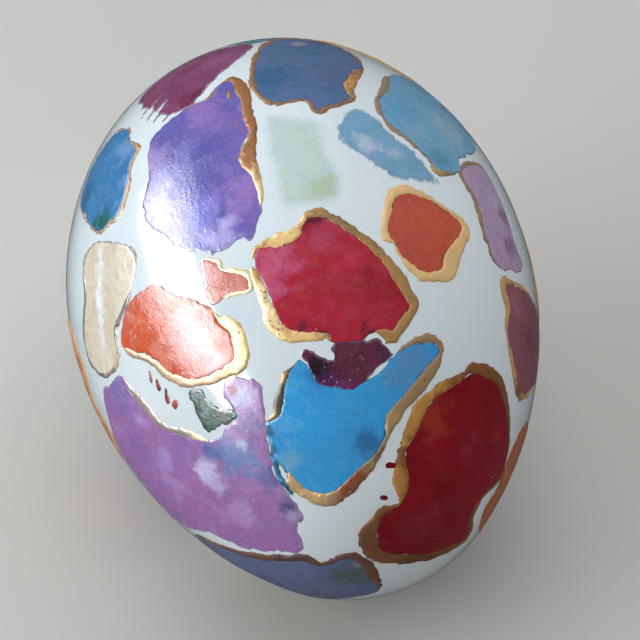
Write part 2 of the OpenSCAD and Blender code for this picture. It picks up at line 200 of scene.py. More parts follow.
class Paint:
    def __init__(self, name):
        self.material = bpy.data.materials.new(name)
        self.material.use_nodes = True
        self.tree = self.material.node_tree
        self.tree.nodes.clear()
        self.shader = self.tree.nodes.new("ShaderNodeBsdfPrincipled")
        output = self.tree.nodes.new("ShaderNodeOutputMaterial")
        self.tree.links.new(self.shader.outputs[0], output.inputs[0])
        coordinates = self.tree.nodes.new("ShaderNodeTexCoord")
        self.place = Wire(self, coordinates.outputs["Object"])
        self.sheet = Wire(self, coordinates.outputs["UV"])

    def put(self, socket, value):
        if isinstance(value, Wire):
            self.tree.links.new(value.socket, socket)
        else:
            socket.default_value = value

    def node(self, kind, settings, sockets, output=0):
        made = self.tree.nodes.new(kind)
        for name, value in settings.items():
            setattr(made, name, value)
        for name, value in sockets.items():
            self.put(made.inputs[name], value)
        return Wire(self, made.outputs[output])

    def noise(self, size, detail=2, roughness=0.5, distortion=0, place=None, seed=0):
        return self.node("ShaderNodeTexNoise", {"noise_dimensions": "4D"}, {
            "Vector": place or self.place, "W": seed * 3.7, "Scale": 1 / (size * mm), "Detail": detail,
            "Roughness": roughness, "Distortion": distortion})

    def cells(self, size):
        return self.node("ShaderNodeTexVoronoi", {}, {"Vector": self.place, "Scale": 1 / (size * mm)})

    def stretched(self, turn, scale):
        # the coordinates turned and drawn out, for strokes that run one way
        return self.node("ShaderNodeMapping", {}, {"Vector": self.place, "Rotation": turn, "Scale": scale})

    def ease(self, value, low, high, toLow=0.0, toHigh=1.0):
        return self.node("ShaderNodeMapRange", {"interpolation_type": "SMOOTHSTEP", "clamp": True}, {
            "Value": value, "From Min": low, "From Max": high, "To Min": toLow, "To Max": toHigh})

    def mix(self, factor, first, second):
        return self.node("ShaderNodeMix", {"data_type": "RGBA", "clamp_factor": True},
                         {0: factor, 6: first, 7: second}, output=2)

    def attribute(self, name):
        return self.node("ShaderNodeAttribute", {"attribute_name": name}, {}, output="Fac")

    def bump(self, height, depth, normal=None):
        sockets = {"Height": height, "Distance": depth * mm, "Strength": 1.0}
        if normal is not None:
            sockets["Normal"] = normal
        return self.node("ShaderNodeBump", {}, sockets)

    def set(self, **sockets):
        for name, value in sockets.items():
            label = {"color": "Base Color", "roughness": "Roughness", "metallic": "Metallic",
                     "normal": "Normal", "coat": "Coat Weight", "coatRoughness": "Coat Roughness",
                     "specular": "Specular IOR Level", "alpha": "Alpha"}[name]
            self.put(self.shader.inputs[label], value)


# camera, lights and floor

view = {
    "toward": (-0.1681, -0.6309, 0.7575),  # from the egg's middle to the camera
    "distance": 250, "lens": 129.5, "aimRight": 2.2, "aimUp": -2.7,
}


def makeCamera():
    middle = Vector((0, centreAlong, centreHeight))
    toward = Vector(view["toward"]).normalized()
    right = Vector((0, 0, 1)).cross(toward).normalized()
    up = toward.cross(right)
    place = middle + toward * view["distance"]
    aim = middle + right * view["aimRight"] + up * view["aimUp"]
    bpy.ops.object.camera_add(location=place * mm, rotation=(place - aim).to_track_quat("Z", "Y").to_euler())
    camera = bpy.context.object
    camera.data.lens = view["lens"]
    camera.data.sensor_width = 36
    camera.data.clip_start = 0.01
    bpy.context.scene.camera = camera


lighting = {
    # metres and watts; a bright light shows only in the gloss, a soft one only lights the colours
    "window": {"from": (-0.877, 0.155, 0.454), "distance": 0.5, "size": (0.7, 0.2), "power": 9,
               "colour": (0.93, 0.97, 1.0), "gloss": True},
    "glint": {"from": (-0.87, -0.5, 0.0), "distance": 0.5, "size": (0.12, 0.06), "power": 0.15,
              "colour": (1.0, 1.0, 1.0), "gloss": True},
    "daylight": {"from": (-0.95, 0.1, 0.4), "distance": 0.6, "size": (0.5, 0.5), "power": 3,
                 "colour": (0.87, 0.95, 1.0), "gloss": False},
    "ceiling": {"from": (0.25, 0.3, 1.0), "distance": 1.0, "size": (1.4, 1.4), "power": 11,
                "colour": (0.92, 0.97, 1.0), "gloss": False},
    "front": {"from": (0.25, -0.9, 0.4), "distance": 1.2, "size": (1.4, 1.0), "power": 1.6,
              "colour": (1.0, 0.97, 0.94), "gloss": False},
    "sky": (0.62, 0.66, 0.7), "skyStrength": 0.1,
}


def makeLights():
    middle = Vector((0, centreAlong, centreHeight)) * mm
    for name in ("window", "glint", "daylight", "ceiling", "front"):
        light = lighting[name]
        away = Vector(light["from"]).normalized()
        place = middle + away * light["distance"]
        turn = away.to_track_quat("Z", "Y").to_euler()
        bpy.ops.object.light_add(type="AREA", location=place, rotation=turn)
        lamp = bpy.context.object
        lamp.name = name
        lamp.data.shape = "RECTANGLE"
        lamp.data.size, lamp.data.size_y = light["size"]
        lamp.data.energy = light["power"]
        lamp.data.color = light["colour"]
        lamp.visible_glossy = light["gloss"]
        lamp.visible_diffuse = not light["gloss"]
    world = bpy.data.worlds.new("studio")
    world.use_nodes = True
    background = world.node_tree.nodes["Background"]
    background.inputs["Color"].default_value = (*lighting["sky"], 1)
    background.inputs["Strength"].default_value = lighting["skyStrength"]
    bpy.context.scene.world = world
    bpy.context.scene.view_settings.view_transform = "Standard"


def makeFloor():
    clearSelection()
    bpy.ops.mesh.primitive_plane_add(size=4, location=(0, 0, 0))
    floor = bpy.context.object
    floor.name = "floor"
    floor.visible_glossy = False
    paint = Paint("paleFloor")
    cloud = paint.noise(60, 3)
    paint.set(color=paint.mix(cloud, tint(196, 192, 186), tint(204, 200, 195)), roughness=0.75)
    floor.data.materials.append(paint.material)


# porcelain body and its clear glaze

def spunShell(name, outer, inner):
    # a closed half profile turned round the axis; outer and inner are offsets from the glaze surface
    halfVent = egg["vent"] / 2
    ventLean = [-math.acos(halfVent / (egg["buttNose"] + grow)) for grow in (outer, inner)]
    lip = egg["lip"] if outer == 0 else 0.3 * egg["lip"]
    path = profileArc(outer, math.pi / 2, ventLean[0] + lip / egg["buttNose"], egg["outerSteps"])
    edge = profileArc(outer, ventLean[0], ventLean[0], 1)[0][1]
    for turn in np.linspace(0.2, 1, 5) * math.pi / 2:
        path.append((halfVent + lip * (1 - math.sin(turn)), edge + lip * (1 - math.cos(turn))))
    path += profileArc(inner, ventLean[1], math.pi / 2, egg["innerSteps"])
    clearSelection()
    bpy.ops.mesh.primitive_circle_add(vertices=len(path), radius=0.01, fill_type="NOTHING")
    shell = bpy.context.object
    shell.name = name
    writePoints(shell.data, np.array([(across, 0, along) for across, along in path]) * mm)
    bpy.ops.object.mode_set(mode="EDIT")
    bpy.ops.mesh.select_all(action="SELECT")
    bpy.ops.mesh.spin(steps=egg["turns"], angle=2 * math.pi, center=(0, 0, 0), axis=(0, 0, 1))
    bpy.ops.mesh.select_all(action="SELECT")
    bpy.ops.mesh.remove_doubles(threshold=1e-7)
    bpy.ops.mesh.normals_make_consistent(inside=False)
    bpy.ops.object.mode_set(mode="OBJECT")
    writePoints(shell.data, toRow(readPoints(shell.data) / mm) * mm)
    bpy.ops.object.shade_smooth()
    return shell


def glazePaint():
    paint = Paint("clearGlazeOverPorcelain")
    cloud = paint.noise(14, 3)
    speck = paint.ease(paint.cells(1.9), 0.035, 0.02)
    speckPick = paint.ease(paint.noise(3.5, 0), 0.58, 0.66)
    white = paint.mix(cloud, tint(226, 234, 238), tint(238, 243, 245))
    bluish = paint.ease(paint.noise(9, 2, seed=3), 0.5, 0.8, 0, 0.35)
    white = paint.mix(bluish, white, tint(214, 228, 238))
    white = paint.mix(speck * speckPick * 0.7, white, tint(120, 122, 128))
    ripple = paint.noise(2.2, 2, seed=1)
    orangePeel = paint.noise(0.5, 1, seed=2)
    gloss = paint.ease(paint.noise(5, 2, seed=5), 0.3, 0.7, 0.07, 0.13)
    paint.set(color=white, roughness=gloss, specular=0.5, coat=0.6, coatRoughness=0.03,
              normal=paint.bump(ripple + orangePeel * 0.12, 0.012))
    return paint.material


def bisquePaint():
    paint = Paint("bisquePorcelain")
    cloud = paint.noise(6, 4)
    grit = paint.noise(0.25, 2)
    paint.set(color=paint.mix(cloud, tint(214, 210, 202), tint(230, 228, 222)),
              roughness=paint.ease(grit, 0.3, 0.7, 0.6, 0.8), normal=paint.bump(grit, 0.02))
    return paint.material


def makeShells():
    glaze = spunShell("glazeSkin", 0, -egg["glaze"])
    glaze.data.materials.append(glazePaint())
    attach(glaze, "root")
    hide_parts("clear_glaze")
    body = spunShell("porcelainBody", -egg["glaze"], -egg["glaze"] - egg["wall"])
    body.data.materials.append(bisquePaint())
    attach(body, "root")
    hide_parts("porcelain_shell")
    print("shells made")


# painted films

film = {
    "enamelStep": 0.17, "goldStep": 0.12,  # mesh steps, mm
    "quickStep": 0.3,
    "keep": 0.28,  # how far past its edge a film's sheet goes on, under the glaze
    "under": 0.05,  # how deep that hidden margin lies
    "thickness": 0.12,
    "margin": 0.8,  # bare sheet round the film before it is cut
    "reach": 1.5,  # distances to the edge are known up to here
    "settle": 14,  # steps that lay a flat sheet on the egg
    "enamelRise": 0.045, "enamelRound": 0.12,  # height over the glaze, and width of its rounded edge
    "goldRise": 0.13, "goldRound": 0.13,
    "spread": 0.12,  # how far enamel runs past its own edge
    "drag": 0.03, "crust": 0.035,  # depth of brush strokes and of the fine crackle
    "thinEdge": 0.25,  # width of the pale edge where enamel is thin
    "goldBright": (226, 178, 116), "goldDull": (196, 146, 88),
    "pinColour": (225, 225, 235),  # bare glaze that shows through pinholes and specks
}


def seatOf(node):
    # tangent plane under the middle of a film: its origin and its axes round the egg,
    # towards the blunt end and outwards
    low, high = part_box(node)
    middle = toEgg(np.array([(low + high) / 2]) / mm)
    for _ in range(3):
        gap, normal = surfaceUnder(middle)
        middle = middle - gap[:, None] * normal
    normal = normal[0]
    roundEgg = np.cross(normal, (0, 0, 1))
    roundEgg /= np.linalg.norm(roundEgg)
    return middle[0], roundEgg, np.cross(normal, roundEgg), normal


def rimOf(node):
    # the CAD film's upper rim as pairs of points, in the egg's own axes
    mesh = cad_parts[node].data
    mesh.calc_loop_triangles()
    faces = np.zeros(len(mesh.loop_triangles) * 3, int)
    mesh.loop_triangles.foreach_get("vertices", faces)
    points, merged = np.unique(np.round(readPoints(mesh) / mm, 3), axis=0, return_inverse=True)
    faces = merged.reshape(-1)[faces].reshape(-1, 3)
    points = toEgg(points)
    upper = surfaceUnder(points)[0]
    upper = upper > upper.max() / 2
    faces = faces[upper[faces].all(1)]
    edges = np.sort(np.vstack([faces[:, [0, 1]], faces[:, [1, 2]], faces[:, [2, 0]]]), axis=1)
    edges, count = np.unique(edges, axis=0, return_counts=True)
    return points[edges[(count % 2 == 1) & (edges[:, 0] != edges[:, 1])]]


def insideBy(segments, ticks):
    # signed distance from the rim on a square grid of points, positive inside
    size = len(ticks)
    step = ticks[1] - ticks[0]
    reach = film["reach"]
    far = np.full((size, size), reach)
    inside = np.zeros((size, size), bool)
    for (ax, ay), (bx, by) in segments:
        lowY, highY = sorted((ay, by))
        first, last = np.searchsorted(ticks, (lowY, highY))
        if last > first:
            rows = ticks[first:last]
            crossing = ax + (rows - ay) * (bx - ax) / (by - ay)
            inside[first:last] ^= ticks[None, :] > crossing[:, None]
        x0, x1 = np.searchsorted(ticks, (min(ax, bx) - reach, max(ax, bx) + reach))
        y0, y1 = np.searchsorted(ticks, (lowY - reach, highY + reach))
        dx, dy = bx - ax, by - ay
        px, py = ticks[None, x0:x1] - ax, ticks[y0:y1, None] - ay
        share = np.clip((px * dx + py * dy) / (dx * dx + dy * dy + 1e-12), 0, 1)
        near = np.hypot(px - share * dx, py - share * dy)
        far[y0:y1, x0:x1] = np.minimum(far[y0:y1, x0:x1], near)
    return np.where(inside, far, -far)


def filmPiece(node, name, look, shape, step):
    # a sheet on the tangent plane, cut to the film's rim and laid on the egg
    origin, roundEgg, alongEgg, normal = seatOf(node)
    rim = rimOf(node) - origin
    flat = np.stack([rim @ roundEgg, rim @ alongEgg], axis=-1)
    half = np.abs(flat).max() + film["margin"]
    count = int(2 * half / step)
    clearSelection()
    bpy.ops.mesh.primitive_grid_add(x_subdivisions=count, y_subdivisions=count, size=2 * half)
    piece = bpy.context.object
    piece.name = name
    mesh = piece.data
    points = readPoints(mesh)
    ticks = np.linspace(-half, half, count + 1)
    inner = insideBy(flat, ticks).ravel()
    x, y = points[:, 0], points[:, 1]
    inner, height = shape(look, x, y, inner)
    sheet = origin + x[:, None] * roundEgg + y[:, None] * alongEgg
    for _ in range(film["settle"]):
        gap, _outward = surfaceUnder(sheet)
        sheet = sheet - gap[:, None] * normal
    _gap, outward = surfaceUnder(sheet)
    writePoints(mesh, toRow(sheet + outward * height[:, None]) * mm)
    edge = mesh.attributes.new("edge", "FLOAT", "POINT")
    edge.data.foreach_set("value", inner.astype(np.float32))
    editSelected(piece, inner < -film["keep"])
    bpy.ops.mesh.delete(type="VERT")
    bpy.ops.object.mode_set(mode="OBJECT")
    thicken = piece.modifiers.new("thicken", "SOLIDIFY")
    thicken.thickness = film["thickness"] * mm
    thicken.offset = -1
    applyModifiers(piece)
    bpy.ops.object.shade_smooth()
    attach(piece, "root")
    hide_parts(node)
    return piece, half


def blot(x, y, spot, seed):
    # how far inside one oval touch of the brush a point lies; spot is its place, half lengths and turn
    spotX, spotY, long, wide, angle = spot
    turn = math.radians(angle)
    u = (x - spotX) * math.cos(turn) + (y - spotY) * math.sin(turn)
    v = -(x - spotX) * math.sin(turn) + (y - spotY) * math.cos(turn)
    return (1 - np.hypot(u / long, v / wide)) * min(long, wide) + 0.1 * unevenness(x, y, 0.4, seed)


def brushEdge(look, x, y, inner, seed):
    # the edge as a brush leaves it: jagged along the stroke, with stray dabs and bare spots
    turn = math.radians(look.get("stroke", 60))
    along = x * math.cos(turn) + y * math.sin(turn)
    across = -x * math.sin(turn) + y * math.cos(turn)
    ragged = look.get("ragged", 1)
    inner = inner + look.get("spread", 0)
    waves = 0.16 * unevenness(x, y, 1.6, seed) + 0.09 * unevenness(x, y, 0.55, seed + 1)
    bristles = 0.10 * unevenness(along / 3.5, across, 0.32, seed + 2)
    grit = 0.03 * unevenness(x, y, 0.2, seed + 3)
    inner = inner + ragged * (waves + bristles + grit)
    for dab in look.get("dabs", ()):
        inner = np.maximum(inner, blot(x, y, dab, seed + 5))
    for bare in look.get("bare", ()):
        inner = np.minimum(inner, -blot(x, y, bare, seed + 6))
    return inner


def enamelShape(look, x, y, inner):
    seed = look["seed"]
    inner = brushEdge(look, x, y, inner, seed)
    body = look.get("body", 1)  # a thin wash has little
    rise = film["enamelRise"] * body * (1 - np.exp(-np.maximum(inner, 0) / film["enamelRound"]))
    swell = 0.012 * body * np.clip(inner / 0.3, 0, 1) * unevenness(x, y, 2.5, seed + 7)
    ridge = 0.012 * body * np.exp(-((inner - 0.22) / 0.12) ** 2)  # paint gathers just inside its edge
    sink = film["under"] * np.clip(-inner / 0.15, 0, 1)
    return inner, rise + swell + ridge - sink


def goldShape(look, x, y, inner):
    seed = look["seed"]
    inner = brushEdge(look, x, y, inner, seed)
    rise = film["goldRise"] * (1 - np.exp(-np.maximum(inner, 0) / film["goldRound"]))
    lumps = 0.02 * unevenness(x, y, 0.7, seed + 7) + 0.012 * unevenness(x, y, 0.3, seed + 8)
    lumps = np.clip(inner / 0.2, 0, 1) * lumps
    sink = film["under"] * np.clip(-inner / 0.12, 0, 1)
    return inner, rise + lumps - sink


def zoned(paint, look, half, colour, size):
    # patches of another colour at set places on the sheet, with wandering edges; a few of them are painted
    # highlight, painted reflection and painted shade
    sheet = paint.node("ShaderNodeMapping", {}, {
        "Vector": paint.sheet, "Location": (-half, -half, 0), "Scale": (2 * half, 2 * half, 1)})
    wobble = paint.noise(size, 4, 0.6, 0.4, seed=look["seed"] + 30)
    for zoneX, zoneY, radius, zoneColour, strength in look.get("zones", ()):
        away = paint.node("ShaderNodeVectorMath", {"operation": "DISTANCE"},
                          {0: sheet, 1: (zoneX, zoneY, 0)}, output="Value")
        mask = paint.ease(away + (wobble - 0.5) * radius * 3.2, radius * 0.25, radius * 1.3, strength, 0)
        colour = paint.mix(mask, colour, tint(*zoneColour))
    return colour


def enamelPaint(name, look, half):
    paint = Paint(name)
    size = look.get("mottle", 4)
    seed = look["seed"]
    shades = look["shades"]
    cloud = paint.ease(paint.noise(size, 4, 0.55, 0.6, seed=seed), 0.3, 0.7)
    colour = paint.mix(cloud, tint(*shades[0]), tint(*shades[1]))
    if len(shades) > 2:
        second = paint.ease(paint.noise(size * 0.6, 3, seed=seed + 20), 0.52, 0.72)
        colour = paint.mix(second, colour, tint(*shades[2]))
    colour = zoned(paint, look, half, colour, 1.5)
    turn = (0, 0, math.radians(look.get("stroke", 60)))
    strokes = paint.noise(0.35, 3, 0.6, seed=seed + 40, place=paint.stretched(turn, (1, 0.16, 1)))
    grain = paint.noise(0.22, 2, seed=seed + 50)
    shade = 1 + (strokes - 0.5) * look.get("streak", 0.25) * 2 + (grain - 0.5) * look.get("grain", 0.25)
    colour = paint.node("ShaderNodeHueSaturation", {}, {"Value": shade, "Color": colour})
    specks = paint.ease(paint.noise(look.get("speckSize", 0.4), 3, 0.7, seed=seed + 65), 0.62, 0.68)
    speckColour = tint(*look.get("speckColour", film["pinColour"]))
    colour = paint.mix(specks * look.get("specks", 0), colour, speckColour)
    pin = paint.ease(paint.cells(1.1), 0.10, 0.04)
    pin = pin * paint.ease(paint.noise(2.1, 0, seed=seed + 60), 0.6, 0.66)
    colour = paint.mix(pin * look.get("pins", 0.5), colour, tint(*film["pinColour"]))
    edge = paint.attribute("edge")
    fray = (paint.noise(0.3, 3, seed=seed + 70) - 0.5) * 0.5
    thin = paint.ease(edge + fray, 0.0, film["thinEdge"], 1, 0)
    colour = paint.mix(thin * look.get("thinness", 0), colour, tint(225, 225, 238))
    rim = paint.ease(edge + fray * 0.1, 0.04, 0.14, 1, 0) * look.get("rim", 0.55)
    colour = paint.mix(rim, colour, tint(*look.get("rimColour", (70, 60, 80))))
    crust = paint.noise(0.16, 2, 0.6, seed=seed + 80)
    drag = paint.noise(0.5, 3, 0.5, seed=seed + 90, place=paint.stretched(turn, (1, 0.3, 1)))
    normal = paint.bump(drag, film["drag"])
    normal = paint.bump(crust, film["crust"], normal)
    crinkle = paint.ease(paint.noise(1.6, 3, 0.6, seed=seed + 95), 0.4, 0.6, 0.08, 0.3)
    paint.set(color=colour, roughness=crinkle, normal=normal, specular=0.6)
    if "fade" in look:
        paint.set(alpha=paint.ease(edge + fray, 0.0, look["fade"]))
    return paint.material


def goldPaint(name, look, half):
    paint = Paint(name)
    seed = look["seed"]
    worn = paint.ease(paint.noise(1.2, 4, 0.6, seed=seed), 0.3, 0.7)
    grain = paint.noise(0.18, 3, 0.6, seed=seed + 40)
    bright = tint(*look.get("bright", film["goldBright"]))
    dull = tint(*look.get("dull", film["goldDull"]))
    colour = paint.mix(worn, bright, dull)
    colour = zoned(paint, look, half, colour, 1.0)
    shade = 1 + (grain - 0.5) * look.get("grain", 0.35) + (worn - 0.5) * 0.15
    colour = paint.node("ShaderNodeHueSaturation", {}, {"Value": shade, "Color": colour})
    pitted = 0.70 - 0.25 * look.get("pits", 0.3)
    pick = paint.ease(paint.noise(1.3, 1, seed=seed + 60), pitted, pitted + 0.06)
    pit = paint.ease(paint.cells(look.get("pitSize", 0.4)), 0.30, 0.16) * pick
    colour = paint.mix(pit, colour, tint(66, 42, 36))
    edge = paint.attribute("edge")
    # dark brown line at the gold's edge: partly the gold's own dark contour, partly painted shade where the
    # raised bead's edge is shaded
    rim = paint.ease(edge + (grain - 0.5) * 0.05, 0.0, 0.05, 1, 0)
    colour = paint.mix(rim * look.get("rim", 0.45), colour, tint(92, 66, 56))
    wrinkle = paint.noise(0.5, 3, 0.6, 1.0, seed=seed + 70)
    height = wrinkle + grain * 0.3 - pit * 0.9
    paint.set(color=colour, metallic=0.2 - 0.15 * pit, roughness=paint.ease(worn, 0, 1, 0.36, 0.5),
              normal=paint.bump(height, look.get("wrinkle", 0.02)))
    return paint.material


# what each patch of enamel looks like; places are in mm from the film's middle,
# x round the egg and y towards the blunt end

